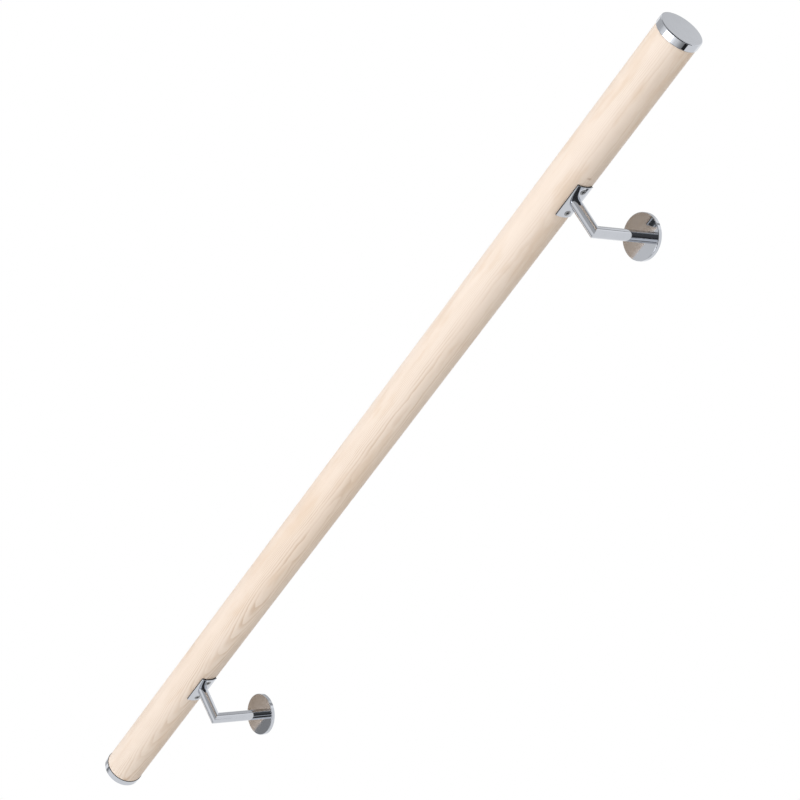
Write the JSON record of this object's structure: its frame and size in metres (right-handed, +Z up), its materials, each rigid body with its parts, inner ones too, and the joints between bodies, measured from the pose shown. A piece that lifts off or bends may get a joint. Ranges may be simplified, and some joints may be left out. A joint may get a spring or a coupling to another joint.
{
  "type": "wooden handrail",
  "caption": "Round pale wood handrail with chromed end caps, held off the wall by chromed brackets with a curved saddle, a mitred bar and a disc rose.",
  "frame": {"origin": "on the wall plane, midway between the two bracket bolts, at the height of the arms", "axes": "+X along the rail to the right as seen from the room, +Y into the wall, +Z up from the arms to the rail"},
  "size_m": [1.2, 0.0911, 0.1106],
  "materials": {
    "rail_wood": "satin",
    "bright_chrome": "polished",
    "screw_steel": "satin"
  },
  "bodies": {
    "root": {"rail": "rail_wood", "left_end_cap": "bright_chrome", "right_end_cap": "bright_chrome", "left_saddle": "bright_chrome", "right_saddle": "bright_chrome", "left_saddle_screws": "screw_steel", "right_saddle_screws": "screw_steel", "left_post": "bright_chrome", "right_post": "bright_chrome", "left_arm": "bright_chrome", "right_arm": "bright_chrome", "left_rose": "bright_chrome", "right_rose": "bright_chrome"}
  },
  "joints": []
}
